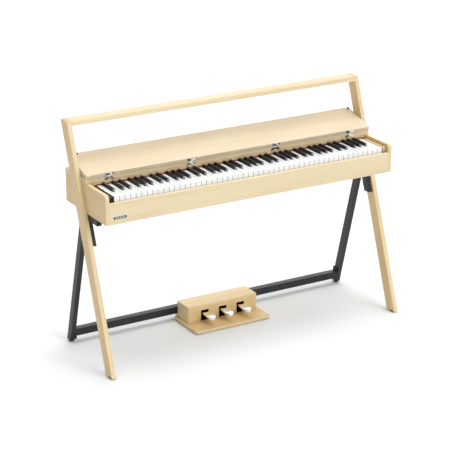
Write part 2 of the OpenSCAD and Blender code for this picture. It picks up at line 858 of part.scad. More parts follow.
module pedal_frame() color(black_steel) placed() translate([pedal_shift, 0, 0]) {
    span([-lug_x, shaft_y - 12, base_top], [lug_x, shaft_y + 10, base_top + 2]);
    for (x = [-lug_x, -pedal_pitch / 2 - lug_t / 2, pedal_pitch / 2 - lug_t / 2, lug_x - lug_t])
        difference() {
            span([x, shaft_y - 8, base_top], [x + lug_t, shaft_y + 8, shaft_z + 8]);
            rod_x([x - eps, shaft_y, shaft_z], shaft_r + 0.02, lug_t + 2 * eps);
        }
}

module pedal_shaft() color(silver) placed() translate([pedal_shift, 0, 0]) {
    rod_x([-lug_x - 2, shaft_y, shaft_z], shaft_r, 2 * lug_x + 4);
}

// Lever with a broad round head, bent down a little towards its tip
module pedal(x) {
    tip_r = pedal_w / 2;
    stem = pedal_stem_w / 2;
    neck = 15;
    hub_r = 7;
    high = pedal_z + pedal_t;
    difference() {
        union() {
            intersection() {
                translate([x, 0, 0]) linear_extrude(height = 2 * pedal_z) {
                    translate([0, pedal_tip_y + tip_r]) circle(r = tip_r);
                    polygon([[-tip_r, pedal_tip_y + tip_r], [tip_r, pedal_tip_y + tip_r],
                        [tip_r - 0.5, pedal_head_y - neck], [stem, pedal_head_y], [stem, shaft_y],
                        [-stem, shaft_y], [-stem, pedal_head_y], [0.5 - tip_r, pedal_head_y - neck]]);
                }
                along_x(x - pedal_w, x + pedal_w) polygon([
                    [pedal_tip_y - eps, pedal_z - pedal_drop - pedal_swell], [pedal_head_y, pedal_z],
                    [shaft_y, pedal_z], [shaft_y, high], [pedal_head_y, high],
                    [pedal_tip_y - eps, high - pedal_drop]]);
            }
            rod_x([x - stem, shaft_y, shaft_z], hub_r, pedal_stem_w);
        }
        rod_x([x - pedal_w, shaft_y, shaft_z], shaft_r + shaft_clear, 2 * pedal_w);
    }
}

module pedal_left() color(silver) placed() pedal(pedal_shift - pedal_pitch);
module pedal_middle() color(silver) placed() pedal(pedal_shift);
module pedal_right() color(silver) placed() pedal(pedal_shift + pedal_pitch);

side_panel_left();
side_panel_right();
front_rail();
top_board();
fallboard();
back_panel();
bottom_board();
end_block_left();
end_block_right();
key_bed();
key_pivot_rod();
key_felt();
circuit_boards();
speakers();
speaker_grilles();
jack_panel();
jack_sockets();
power_button();
volume_knob();
badge();
lid_board();
lid_bumpers();
lid_hinge_leaves();
lid_screws();
board_hinge_leaves();
board_screws();
front_leg_left();
front_leg_right();
top_bar();
side_frame_left();
side_frame_right();
crossbar();
crossbar_plates();
stand_bolts();
tube_caps();
foot_glides();
pedal_base();
pedal_box();
pedal_guides();
pedal_frame();
pedal_shaft();
pedal_left();
pedal_middle();
pedal_right();
key_c4();
key_d4();
key_e4();
key_f4();
key_g4();
key_a4();
key_b4();
key_c4_sharp();
key_d4_sharp();
key_f4_sharp();
key_g4_sharp();
key_a4_sharp();
bass_white_keys();
bass_black_keys();
treble_white_keys();
treble_black_keys();
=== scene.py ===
"""Looks of a digital piano on a stand: pale maple boards, a black steel frame, glossy keys,
butterfly hinges and a three-pedal unit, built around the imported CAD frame. Metres throughout."""

import json
import math

import bmesh
import bpy
from mathutils import Euler, Matrix, Vector, noise


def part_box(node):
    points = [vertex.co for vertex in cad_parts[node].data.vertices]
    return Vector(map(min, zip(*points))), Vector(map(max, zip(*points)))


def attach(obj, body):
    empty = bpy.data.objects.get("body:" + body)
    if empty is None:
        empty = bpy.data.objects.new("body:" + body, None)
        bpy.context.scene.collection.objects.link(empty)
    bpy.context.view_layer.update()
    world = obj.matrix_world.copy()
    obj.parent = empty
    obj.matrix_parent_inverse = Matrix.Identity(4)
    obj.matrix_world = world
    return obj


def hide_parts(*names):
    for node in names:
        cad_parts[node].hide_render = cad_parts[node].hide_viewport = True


MM = 0.001
# Vertices of a CAD mesh closer than this are one vertex
WELD_GAP = 0.00001
# Neighbouring faces that turn by less than this many degrees are one flat face
FLAT_ANGLE = 0.5
X, Y, Z = Vector((1, 0, 0)), Vector((0, 1, 0)), Vector((0, 0, 1))

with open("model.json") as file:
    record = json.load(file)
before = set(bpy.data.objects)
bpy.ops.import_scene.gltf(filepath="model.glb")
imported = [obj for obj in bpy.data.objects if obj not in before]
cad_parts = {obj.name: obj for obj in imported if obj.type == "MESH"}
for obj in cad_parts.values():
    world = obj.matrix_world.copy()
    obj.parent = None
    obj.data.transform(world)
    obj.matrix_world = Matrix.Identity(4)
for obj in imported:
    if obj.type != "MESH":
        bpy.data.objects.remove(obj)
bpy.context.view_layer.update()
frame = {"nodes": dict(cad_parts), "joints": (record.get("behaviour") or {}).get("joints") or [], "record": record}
NODES = frame["nodes"]

# ---------- camera ----------

AZIMUTH = math.radians(-30.34)
ELEVATION = math.radians(20.01)
DISTANCE = 7.008
AIM = Vector((-0.0219, 0, 0.4305))
LENS = 136.75


def make_camera():
    back = Vector((math.sin(AZIMUTH) * math.cos(ELEVATION),
                   -math.cos(AZIMUTH) * math.cos(ELEVATION), math.sin(ELEVATION)))
    data = bpy.data.cameras.new("camera")
    data.lens = LENS
    data.sensor_width = 36
    data.clip_end = 100
    camera = bpy.data.objects.new("camera", data)
    bpy.context.scene.collection.objects.link(camera)
    camera.location = AIM + DISTANCE * back
    camera.rotation_euler = (-back).to_track_quat("-Z", "Y").to_euler()
    bpy.context.scene.camera = camera


make_camera()

# ---------- light ----------


def soft_sun(name, direction, strength, spread, tint):
    """Even light from far away. The direction points from the object to the light."""
    data = bpy.data.lights.new(name, "SUN")
    data.color = tint
    data.energy = strength
    data.angle = math.radians(spread)
    light = bpy.data.objects.new(name, data)
    bpy.context.scene.collection.objects.link(light)
    light.rotation_euler = Vector(direction).to_track_quat("Z", "Y").to_euler()


def white_card(name, at, size, watts):
    """Large soft panel that faces the object, for the sheen on polished upper faces."""
    data = bpy.data.lights.new(name, "AREA")
    data.shape = "RECTANGLE"
    data.size, data.size_y = size
    data.energy = watts
    card = bpy.data.objects.new(name, data)
    bpy.context.scene.collection.objects.link(card)
    card.location = at
    card.rotation_euler = (Vector((0, 0, 0.6)) - Vector(at)).to_track_quat("-Z", "Y").to_euler()
    card.visible_camera = False


def make_studio():
    scene = bpy.context.scene
    scene.view_settings.view_transform = "Standard"
    scene.view_settings.look = "None"
    world = bpy.data.worlds.new("studio")
    world.use_nodes = True
    scene.world = world
    sky = world.node_tree.nodes["Background"]
    sky.inputs["Color"].default_value = (1, 0.965, 0.91, 1)
    sky.inputs["Strength"].default_value = 0.38
    soft_sun("overhead_light", (0.10, 0.04, 1), 2.1, 50, (1, 1, 1))
    soft_sun("front_light", (0.28, -1, 0.62), 1.25, 35, (0.93, 0.97, 1))
    white_card("back_card", (2.6, 5.2, 3.1), (10, 4.6), 165)


make_studio()

# ---------- node graph helpers ----------


class Graph:
    """A material's node tree, with one call per node. Sockets are given by name."""

    def __init__(self, name):
        self.material = bpy.data.materials.new(name)
        self.material.use_nodes = True
        self.tree = self.material.node_tree
        self.shader = self.tree.nodes["Principled BSDF"]
        self.coords = self.tree.nodes.new("ShaderNodeTexCoord")

    def plug(self, socket, value):
        if isinstance(value, bpy.types.NodeSocket):
            self.tree.links.new(value, socket)
        elif isinstance(value, (tuple, list, Vector)) and socket.type == "RGBA":
            socket.default_value = (*value, 1) if len(value) == 3 else value
        else:
            socket.default_value = value

    def add(self, kind, sockets=None, out=0, **settings):
        node = self.tree.nodes.new("ShaderNode" + kind)
        for key, value in settings.items():
            setattr(node, key, value)
        for key, value in (sockets or {}).items():
            self.plug(node.inputs[key], value)
        return node.outputs[out]

    def math(self, operation, a, b=0.0):
        return self.add("Math", {0: a, 1: b}, operation=operation)

    def vector(self, operation, a, b=(0, 0, 0), out=0):
        return self.add("VectorMath", {0: a, 1: b}, out=out, operation=operation)

    def mapped(self, vector, scale=(1, 1, 1), location=(0, 0, 0), rotation=(0, 0, 0)):
        return self.add("Mapping", {"Vector": vector, "Scale": scale, "Location": location,
                                    "Rotation": rotation})

    def noise(self, vector, scale, detail=2.0, rough=0.5, distortion=0.0):
        return self.add("TexNoise", {"Vector": vector, "Scale": scale, "Detail": detail,
                                     "Roughness": rough, "Distortion": distortion})

    def remap(self, value, low, high, to_low=0.0, to_high=1.0):
        return self.add("MapRange", {"Value": value, "From Min": low, "From Max": high,
                                     "To Min": to_low, "To Max": to_high})

    def mix(self, factor, a, b):
        """Colour mix."""
        node = self.tree.nodes.new("ShaderNodeMix")
        node.data_type = "RGBA"
        for key, value in ((0, factor), (6, a), (7, b)):
            self.plug(node.inputs[key], value)
        return node.outputs[2]

    def bump(self, height, distance, strength=1.0):
        return self.add("Bump", {"Height": height, "Distance": distance, "Strength": strength})

    def finish(self, **sockets):
        for key, value in sockets.items():
            self.plug(self.shader.inputs[key.replace("_", " ").title().replace("Ior", "IOR")], value)
        return self.material


def paint(node, material):
    """Puts one material on a CAD node or on a piece."""
    thing = NODES[node] if isinstance(node, str) else node
    thing.data.materials.clear()
    thing.data.materials.append(material)


def soften(node, width, segments=2, angle=30):
    """Rounds the hard edges of a CAD node with modifiers, after joining its flat triangles."""
    thing = NODES[node]
    weld = thing.modifiers.new("weld", "WELD")
    weld.merge_threshold = WELD_GAP
    flat = thing.modifiers.new("flat", "DECIMATE")
    flat.decimate_type = "DISSOLVE"
    flat.angle_limit = math.radians(FLAT_ANGLE)
    bevel = thing.modifiers.new("bevel", "BEVEL")
    bevel.width = width
    bevel.segments = segments
    bevel.limit_method = "ANGLE"
    bevel.angle_limit = math.radians(angle)
    bevel.use_clamp_overlap = False
    bevel.miter_outer = "MITER_ARC"
    smooth = thing.modifiers.new("normals", "WEIGHTED_NORMAL")
    smooth.keep_sharp = False


# ---------- maple ----------

LID_HINGE = next(joint for joint in frame["joints"] if joint["child"] == "lid")
# Angle that the open lid has turned away from closed
LID_TURN = math.radians(LID_HINGE["range_deg"][1])
LID_NORMAL = Vector((0, math.sin(LID_TURN), math.cos(LID_TURN)))
# Direction of the leaning front legs, 0.3585 back for each unit of height
LEAN = Vector((0, 0.3585, 1)).normalized()
# Board: grain direction, face direction, True where the ends show end grain
BOARDS = {
    "side_panel_left": (Y, X, False),
    "side_panel_right": (Y, X, False),
    "front_rail": (X, Y, False),
    "top_board": (X, Z, False),
    "fallboard": (X, Y, False),
    "back_panel": (X, Y, False),
    "bottom_board": (X, Z, False),
    "end_block_right": (Y, Z, False),
    "lid_board": (X, LID_NORMAL, False),
    "front_leg_left": (LEAN, X, True),
    "front_leg_right": (LEAN, X, True),
    "top_bar": (X, LEAN, True),
    "pedal_base": (X, Z, False),
    "pedal_box": (X, Y, False),
}
# Boards tinted paler where they are brightly lit and warmer where they sit in shade: painted light and shade
LIT_AND_SHADED_TINTS = {
    "lid_board": (0.92, 0.98, 1.17),
    "top_bar": (0.97, 0.99, 1.04),
    "front_rail": (1.02, 1.06, 1.14),
    "fallboard": (1.0, 0.96, 0.88),
}
# Faces given a darker, more saturated tint as painted shade, by the axis that they face along
SHADED_FACE_AXES = {
    "side_panel_left": X, "side_panel_right": X, "front_leg_left": X, "front_leg_right": X,
    "pedal_box": Y, "pedal_base": Z, "end_block_right": X,
}
PAINTED_SHADE_TINT = (0.97, 0.90, 0.78)
MAPLE_LIGHT = (0.81, 0.65, 0.40)
MAPLE_MID = (0.73, 0.555, 0.305)
MAPLE_DARK = (0.62, 0.44, 0.22)
MAPLE_END = (0.56, 0.40, 0.22)
# paler tone of the worn arrises, which also serves as a painted edge highlight
MAPLE_WORN_AND_HIGHLIGHT = (0.85, 0.73, 0.51)


def board_axes(grain, face):
    """Rotation from the frame into a board's own axes: X along the grain, Z through the face."""
    side = face.cross(grain).normalized()
    up = grain.cross(side).normalized()
    return Matrix((grain, side, up))


def maple(node, seed):
    grain, face, end_grain = BOARDS[node]
    turn = board_axes(grain, face)
    corners = [turn @ v.co for v in NODES[node].data.vertices]
    low = Vector(min(c[i] for c in corners) for i in range(3))
    high = Vector(max(c[i] for c in corners) for i in range(3))
    middle, half = (low + high) / 2, (high - low) / 2
    g = Graph("maple_" + node)
    place = g.mapped(g.coords.outputs["Object"], location=-middle, rotation=turn.to_euler())
    facing = g.math("ABSOLUTE", g.vector("DOT_PRODUCT", g.coords.outputs["Normal"], grain, out=1))
    on_end = g.remap(facing, 0.6, 0.8)
    # ends of veneered boards carry a band whose grain runs along the edge
    turned = g.mapped(place, rotation=(0, 0, math.pi / 2), location=(0.37, 0.11, 0.05))
    choose = g.tree.nodes.new("ShaderNodeMix")
    choose.data_type = "VECTOR"
    for key, value in ((0, on_end), (4, place), (5, turned)):
        g.plug(choose.inputs[key], value)
    spot = choose.outputs[1]
    seeded = g.mapped(spot, location=(seed * 1.73, seed * 0.91, seed * 0.57))
    drift = g.noise(g.mapped(seeded, (1.6, 9, 9)), 1.0, 2)
    wander = g.vector("MULTIPLY", g.add("CombineXYZ", {1: drift, 2: drift}), (0, 0.030, 0.012))
    flow = g.vector("ADD", seeded, wander)
    fibre = g.noise(g.mapped(flow, (9, 900, 900)), 1.0, 3, 0.6)
    streak = g.noise(g.mapped(flow, (1.3, 150, 150)), 1.0, 3, 0.55)
    cloud = g.noise(g.mapped(seeded, (2.6, 22, 22)), 1.0, 3)
    # growth rings cut at a shallow angle, which open into long arches on the faces
    heart = g.mapped(flow, (0.2, 1, 1), location=(0, 0.012, 0.055),
                     rotation=(0, math.radians(15), math.radians(7)))
    rings = g.add("TexWave", {"Vector": heart, "Scale": 34.0, "Distortion": 2.6, "Detail": 2.0,
                              "Detail Scale": 1.6, "Detail Roughness": 0.5},
                  wave_type="RINGS", rings_direction="X", wave_profile="SAW")
    fleck = g.noise(g.mapped(flow, (160, 2600, 2600)), 1.0, 1)
    tone = g.math("ADD", g.math("MULTIPLY", streak, 0.20), g.math("MULTIPLY", fibre, 0.22))
    tone = g.math("ADD", tone, g.math("MULTIPLY", rings, 0.24))
    tone = g.math("ADD", tone, g.math("MULTIPLY", cloud, 0.42))
    colour = g.mix(g.remap(tone, 0.42, 0.72), MAPLE_LIGHT, MAPLE_MID)
    colour = g.mix(g.remap(tone, 0.62, 0.90, 0, 0.8), colour, MAPLE_DARK)
    colour = g.mix(g.remap(fleck, 0.66, 0.80, 0, 0.28), colour, MAPLE_DARK)
    if end_grain:
        pores = g.noise(g.mapped(place, (1, 1100, 1100)), 1.0, 2)
        ring_end = g.add("TexWave", {"Vector": g.mapped(place, location=(0, 0.01, 0.06)),
                                     "Scale": 60.0, "Distortion": 1.5},
                         wave_type="RINGS", rings_direction="X")
        ends = g.mix(g.math("MULTIPLY", pores, ring_end), MAPLE_END, MAPLE_MID)
        colour = g.mix(on_end, colour, ends)
    # worn arrises plus a painted edge highlight: a narrow, broken, slightly paler line along every outer edge
    inset = g.vector("SUBTRACT", half, g.vector("ABSOLUTE", place))
    split = g.tree.nodes.new("ShaderNodeSeparateXYZ")
    g.plug(split.inputs[0], inset)
    a, b, c = split.outputs
    pairs = [g.math("MAXIMUM", *pair) for pair in ((a, b), (b, c), (a, c))]
    nearest = g.math("MINIMUM", g.math("MINIMUM", pairs[0], pairs[1]), pairs[2])
    worn = g.math("MULTIPLY", g.remap(nearest, 0.0004, 0.0022, 0.55, 0.0),
                  g.remap(g.noise(place, 55.0, 2), 0.35, 0.6))
    colour = g.mix(worn, colour, MAPLE_WORN_AND_HIGHLIGHT)
    # painted light and shade: each board's own tint for how brightly it is lit
    tint = LIT_AND_SHADED_TINTS.get(node, (1, 1, 1))
    # painted shade: faces that point along the listed axis take the darker shade tint
    if node in SHADED_FACE_AXES:
        out = g.math("ABSOLUTE", g.vector("DOT_PRODUCT", g.coords.outputs["Normal"],
                                          SHADED_FACE_AXES[node], out=1))
        tint = g.mix(g.remap(out, 0.6, 0.85), tint, PAINTED_SHADE_TINT)
    colour = g.vector("MULTIPLY", colour, tint)
    rough = g.remap(g.math("ADD", fibre, g.math("MULTIPLY", cloud, 0.5)), 0.5, 1.0, 0.36, 0.52)
    height = g.math("SUBTRACT", g.math("MULTIPLY", fibre, 0.8), g.remap(fleck, 0.62, 0.8))
    return g.finish(base_color=colour, roughness=rough, normal=g.bump(height, 0.00012, 0.7))


for number, board in enumerate(BOARDS):
    paint(board, maple(board, number + 1))

# ---------- other finishes ----------


def speckled(name, dark, light, rough, grain_mm, bump_mm, **more):
    """Base of most finishes: two close tones, blotchy roughness and a fine surface bump."""
    g = Graph(name)
    spot = g.coords.outputs["Object"]
    fine = g.noise(spot, 1000.0 / grain_mm, 2, 0.55)
    broad = g.noise(spot, 7.0, 3, 0.6)
    colour = g.mix(g.remap(g.math("ADD", g.math("MULTIPLY", fine, 0.5), broad), 0.5, 1.0), dark, light)
    shine = g.remap(g.math("ADD", broad, g.math("MULTIPLY", fine, 0.6)), 0.5, 1.1, *rough)
    return g.finish(base_color=colour, roughness=shine, normal=g.bump(fine, bump_mm * MM, 0.6), **more)


# Distance between white keys, and the left side of the lowest one
KEY_PITCH = 0.0235
KEYBOARD_LEFT = -0.606


def white_keys():
    """Glossy key plastic: every key a hair different in tone, with faint finger smears."""
    g = Graph("white_key_plastic")
    spot = g.coords.outputs["Object"]
    split = g.tree.nodes.new("ShaderNodeSeparateXYZ")
    g.plug(split.inputs[0], spot)
    from_left = g.math("SUBTRACT", split.outputs[0], KEYBOARD_LEFT)
    number = g.math("FLOOR", g.math("DIVIDE", from_left, KEY_PITCH))
    each = g.add("TexWhiteNoise", {"W": number}, noise_dimensions="1D")
    tone = g.mix(each, (0.92, 0.935, 0.95), (0.94, 0.955, 0.97))
    smear = g.noise(g.mapped(spot, (70, 18, 40)), 1.0, 3, 0.6)
    tone = g.mix(g.remap(smear, 0.55, 0.8, 0, 0.35), tone, (0.85, 0.85, 0.835))
    # painted shade: the sides between neighbouring keys are darkened, where shade falls in the gaps
    key_side_shade = g.math("ABSOLUTE", g.vector("DOT_PRODUCT", g.coords.outputs["Normal"], X, out=1))
    tone = g.mix(g.remap(key_side_shade, 0.55, 0.9), tone, (0.16, 0.155, 0.145))
    orange = g.noise(spot, 420.0, 1)
    return g.finish(base_color=tone, roughness=g.remap(smear, 0.3, 0.7, 0.13, 0.24),
                    normal=g.bump(orange, 0.00002, 0.5), coat_weight=0.25, coat_roughness=0.06)


def black_keys():
    """Satin black key tops with lengthwise polishing marks."""
    g = Graph("black_key_plastic")
    spot = g.coords.outputs["Object"]
    brushed = g.noise(g.mapped(spot, (900, 30, 900)), 1.0, 2)
    smear = g.noise(g.mapped(spot, (60, 25, 60)), 1.0, 3)
    tone = g.mix(smear, (0.004, 0.004, 0.004), (0.010, 0.010, 0.0105))
    # the front slopes and arrises are polished by fingers
    facing = g.vector("DOT_PRODUCT", g.coords.outputs["Normal"], -Y, out=1)
    polish = g.remap(facing, 0.35, 0.85)
    level = g.remap(polish, 0, 1, 0.14, 1.6)
    return g.finish(base_color=tone, roughness=g.remap(smear, 0.3, 0.7, 0.26, 0.38),
                    normal=g.bump(brushed, 0.000006, 0.4), specular_ior_level=level)


def metal(name, tone, rough, stretch, bump_mm):
    """Bright metal with fine scratches and cloudy polish."""
    g = Graph(name)
    spot = g.coords.outputs["Object"]
    scratch = g.noise(g.mapped(spot, stretch), 1.0, 2, 0.6)
    cloud = g.noise(spot, 60.0, 3, 0.6)
    worn = tuple(0.8 * v for v in tone)
    colour = g.mix(g.remap(cloud, 0.45, 0.75, 0, 0.6), tone, worn)
    shine = g.remap(g.math("ADD", cloud, g.math("MULTIPLY", scratch, 0.7)), 0.5, 1.2, *rough)
    return g.finish(base_color=colour, roughness=shine, metallic=1.0,
                    normal=g.bump(scratch, bump_mm * MM, 0.4))


def felt():
    """Red wool felt: matted fibres in two scales."""
    g = Graph("red_felt")
    spot = g.coords.outputs["Object"]
    fuzz = g.noise(g.mapped(spot, (900, 2200, 2200)), 1.0, 3, 0.7, 0.6)
    tuft = g.noise(spot, 240.0, 3, 0.6)
    mixed = g.math("ADD", g.math("MULTIPLY", fuzz, 0.6), g.math("MULTIPLY", tuft, 0.5))
    tone = g.mix(g.remap(mixed, 0.4, 0.72), (0.20, 0.012, 0.016), (0.42, 0.045, 0.05))
    return g.finish(base_color=tone, roughness=0.92, sheen_weight=0.5, sheen_roughness=0.45,
                    normal=g.bump(mixed, 0.0004, 0.9))


def boards_green():
    """Circuit board: solder mask with copper runs and pads showing through."""
    g = Graph("circuit_board")
    spot = g.coords.outputs["Object"]
    runs = g.add("TexVoronoi", {"Vector": g.mapped(spot, (90, 260, 90)), "Scale": 1.0},
                 feature="DISTANCE_TO_EDGE")
    pads = g.add("TexVoronoi", {"Vector": spot, "Scale": 210.0})
    tone = g.mix(g.remap(runs, 0.03, 0.07), (0.03, 0.20, 0.09), (0.010, 0.085, 0.04))
    tone = g.mix(g.remap(pads, 0.16, 0.20), (0.62, 0.60, 0.56), tone)
    return g.finish(base_color=tone, roughness=g.remap(runs, 0.0, 0.2, 0.30, 0.42),
                    normal=g.bump(g.remap(runs, 0.03, 0.07), 0.00003, 0.6))


STEEL = speckled("black_steel", (0.012, 0.013, 0.0135), (0.022, 0.0235, 0.024), (0.34, 0.48), 0.9, 0.02,
                 specular_ior_level=0.38)
PLASTIC = speckled("black_plastic", (0.006, 0.006, 0.006), (0.013, 0.013, 0.013), (0.34, 0.52), 0.5, 0.015,
                   specular_ior_level=0.28)
RUBBER = speckled("rubber", (0.008, 0.008, 0.008), (0.020, 0.020, 0.019), (0.62, 0.85), 0.7, 0.05,
                  specular_ior_level=0.3)
SPEAKER = speckled("speaker_parts", (0.016, 0.016, 0.016), (0.040, 0.039, 0.037), (0.55, 0.8), 0.6, 0.05)
WHITE_KEY = white_keys()
BLACK_KEY = black_keys()
CHROME = metal("chrome", (0.93, 0.935, 0.94), (0.06, 0.14), (60, 900, 900), 0.003)
NICKEL = metal("bright_steel", (0.82, 0.81, 0.79), (0.12, 0.24), (900, 250, 250), 0.006)
BOLT = metal("bolt_steel", (0.10, 0.10, 0.105), (0.28, 0.42), (700, 700, 120), 0.01)
FELT = felt()
BOARD = boards_green()
PEG_WOOD = speckled("peg_wood", (0.70, 0.52, 0.30), (0.80, 0.64, 0.41), (0.42, 0.56), 1.4, 0.03)
POINTER = speckled("pointer_paint", (0.74, 0.74, 0.72), (0.82, 0.82, 0.80), (0.4, 0.55), 0.4, 0.01)

FINISHES = {
    "side_frame_left side_frame_right crossbar crossbar_plates pedal_frame key_bed jack_panel": STEEL,
    "speakers speaker_grilles": SPEAKER,
    "stand_bolts": BOLT,
    "end_block_left jack_sockets power_button volume_knob tube_caps pedal_guides": PLASTIC,
    "lid_bumpers foot_glides": RUBBER,
    "lid_hinge_leaves board_hinge_leaves lid_screws board_screws key_pivot_rod pedal_shaft": NICKEL,
    "badge pedal_left pedal_middle pedal_right": CHROME,
    "key_felt": FELT,
    "circuit_boards": BOARD,
}
for names, finish in FINISHES.items():
    for name in names.split():
        paint(name, finish)
for name in NODES:
    if "sharp" in name or "black_keys" in name:
        paint(name, BLACK_KEY)
    elif name.startswith("key_") and len(name) == 6 or "white_keys" in name:
        paint(name, WHITE_KEY)

# ---------- detail pieces ----------


def solids(node, into=Matrix.Identity(4)):
    """(low, high) corners of every separate solid of a CAD node, after turning it with a matrix."""
    bm = bmesh.new()
    bm.from_mesh(NODES[node].data)
    bmesh.ops.remove_doubles(bm, verts=bm.verts, dist=WELD_GAP)
    left, found = set(bm.verts), []
    while left:
        queue = [left.pop()]
        corners = []
        while queue:
            vert = queue.pop()
            corners.append(into @ vert.co)
            for edge in vert.link_edges:
                other = edge.other_vert(vert)
                if other in left:
                    left.remove(other)
                    queue.append(other)
        found.append(tuple(Vector(pick(c[i] for c in corners) for i in range(3)) for pick in (min, max)))
    bm.free()
    return sorted(found, key=lambda pair: tuple(pair[0]))


def lathe(profile, steps=40, flutes=0, flute_depth=0.0):
    """Closed solid turned about Z from (radius, height) pairs that start and end on the axis."""
    bm = bmesh.new()
    rings = []
    for radius, height in profile:
        if radius == 0:
            rings.append([bm.verts.new((0, 0, height))])
            continue
        ring = []
        for i in range(steps):
            turn = 2 * math.pi * i / steps
            r = radius - flute_depth * (0.5 + 0.5 * math.cos(flutes * turn)) if flutes else radius
            ring.append(bm.verts.new((r * math.cos(turn), r * math.sin(turn), height)))
        rings.append(ring)
    for low, high in zip(rings, rings[1:]):
        for i in range(steps):
            j = (i + 1) % steps
            if len(low) == 1:
                bm.faces.new((low[0], high[j], high[i]))
            elif len(high) == 1:
                bm.faces.new((low[i], low[j], high[0]))
            else:
                bm.faces.new((low[i], low[j], high[j], high[i]))
    bmesh.ops.recalc_face_normals(bm, faces=bm.faces)
    return bm


def prism(outline, bottom, top, taper=1.0):
    """Solid between two heights over an outline of (x, y) points. The top is scaled by taper."""
    bm = bmesh.new()
    low = [bm.verts.new((x, y, bottom)) for x, y in outline]
    high = [bm.verts.new((x * taper, y * taper, top)) for x, y in outline]
    bm.faces.new(reversed(low))
    bm.faces.new(high)
    for i in range(len(low)):
        j = (i + 1) % len(low)
        bm.faces.new((low[i], low[j], high[j], high[i]))
    bmesh.ops.recalc_face_normals(bm, faces=bm.faces)
    return bm


def polygon(sides, radius, start=0.0):
    return [(radius * math.cos(start + 2 * math.pi * i / sides),
             radius * math.sin(start + 2 * math.pi * i / sides)) for i in range(sides)]


def cross_outline(reach, arm):
    """Outline of a cross recess."""
    quarter = [(reach, arm), (arm, arm), (arm, reach)]
    points = []
    for turn in range(4):
        c, n = round(math.cos(turn * math.pi / 2)), round(math.sin(turn * math.pi / 2))
        for x, y in ([(reach, -arm)] + quarter[:2]):
            points.append((x * c - y * n, x * n + y * c))
    return points


def temporary(bm):
    mesh = bpy.data.meshes.new("temporary")
    bm.to_mesh(mesh)
    bm.free()
    thing = bpy.data.objects.new("temporary", mesh)
    bpy.context.scene.collection.objects.link(thing)
    return thing


def cut(bm, tool):
    """The first solid with the second cut away."""
    body, cutter = temporary(bm), temporary(tool)
    boolean = body.modifiers.new("cut", "BOOLEAN")
    boolean.operation = "DIFFERENCE"
    boolean.solver = "EXACT"
    boolean.object = cutter
    depsgraph = bpy.context.evaluated_depsgraph_get()
    mesh = bpy.data.meshes.new_from_object(body.evaluated_get(depsgraph))
    out = bmesh.new()
    out.from_mesh(mesh)
    for thing in (body, cutter):
        bpy.data.objects.remove(thing)
    bpy.data.meshes.remove(mesh)
    return out


def copies(bm, places):
    """One mesh with a copy of bm at each matrix."""
    out = bmesh.new()
    mesh = bpy.data.meshes.new("copy")
    bm.to_mesh(mesh)
    bm.free()
    for place in places:
        before = len(out.verts)
        out.from_mesh(mesh)
        out.verts.ensure_lookup_table()
        bmesh.ops.transform(out, matrix=place, verts=out.verts[before:])
    bpy.data.meshes.remove(mesh)
    return out


def piece(name, bm, body, material, replaced=(), crease=35):
    """A finished mesh piece on its body, with smooth faces and creases at hard edges."""
    for edge in bm.edges:
        edge.smooth = len(edge.link_faces) == 2 and edge.calc_face_angle(0) < math.radians(crease)
    for face in bm.faces:
        face.smooth = True
    mesh = bpy.data.meshes.new(name)
    bm.to_mesh(mesh)
    bm.free()
    mesh.materials.append(material)
    thing = bpy.data.objects.new(name, mesh)
    bpy.context.scene.collection.objects.link(thing)
    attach(thing, body)
    if replaced:
        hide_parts(*replaced)
    return thing


def towards(point, direction):
    """Matrix that puts a piece's origin at a point with its Z along a direction."""
    return Matrix.Translation(point) @ Vector(direction).to_track_quat("Z", "X").to_matrix().to_4x4()


HINGE_LINE = Matrix.Translation(Vector(LID_HINGE["pos_m"]))
LID_OPEN = HINGE_LINE @ Matrix.Rotation(-LID_TURN, 4, "X") @ HINGE_LINE.inverted()
LID_SHUT = LID_OPEN.inverted()


def hinge_screws():
    """Flush cross-head wood screws, eight in the lid and eight in the fixed board."""
    head_r, shank_r, head_h, length = 3.0 * MM, 1.6 * MM, 1.2 * MM, 13 * MM
    for node, body, opened, way in (("board_screws", "piano", Matrix.Identity(4), 1),
                                    ("lid_screws", "lid", LID_OPEN, -1)):
        screw = lathe([(0, 0), (head_r - 0.15 * MM, 0), (head_r, 0.15 * MM), (shank_r, head_h),
                       (shank_r, length - 2 * MM), (0, length)])
        recess = prism(cross_outline(1.55 * MM, 0.32 * MM), -0.5 * MM, 0.95 * MM, 0.55)
        screw = cut(screw, recess)
        places = []
        for number, (low, high) in enumerate(solids(node, opened.inverted())):
            face = low.y if way > 0 else high.y
            at = Vector(((low.x + high.x) / 2, face, (low.z + high.z) / 2))
            spin = Matrix.Rotation(0.4 + 0.9 * number, 4, "Z")
            places.append(opened @ towards(at, (0, way, 0)) @ spin)
        piece("hinge_" + node, copies(screw, places), body, NICKEL, [node])


def frame_bolts():
    """Button-head bolts with hexagon sockets."""
    head_r, head_h, shank_r = 5.5 * MM, 3.3 * MM, 3 * MM
    lengths, groups = {}, []
    for low, high in solids("stand_bolts"):
        size = high - low
        axis = max(range(3), key=lambda i: size[i])
        middle = (low + high) / 2
        inward = Vector((0, 0, 0))
        inward[axis] = -1 if axis == 2 or middle.x > 0 else 1
        end = middle + inward * size[axis] / 2
        groups.append((size[axis], towards(end, -inward)))
    for length, place in groups:
        lengths.setdefault(round(length, 5), []).append(place)
    out = bmesh.new()
    for length, places in lengths.items():
        dome = [(0, 0), (2.6 * MM, 0.02 * MM), (3.7 * MM, 0.35 * MM), (4.7 * MM, 1.0 * MM),
                (5.3 * MM, 1.9 * MM), (head_r, 2.8 * MM), (head_r, head_h), (shank_r, head_h),
                (shank_r, length - 0.6 * MM), (shank_r - 0.6 * MM, length), (0, length)]
        bolt = cut(lathe(dome), prism(polygon(6, 2.3 * MM), -1 * MM, 2.0 * MM))
        mesh = bpy.data.meshes.new("bolts")
        group = copies(bolt, places)
        group.to_mesh(mesh)
        group.free()
        out.from_mesh(mesh)
        bpy.data.meshes.remove(mesh)
    piece("frame_bolts", out, "piano", BOLT, ["stand_bolts"])


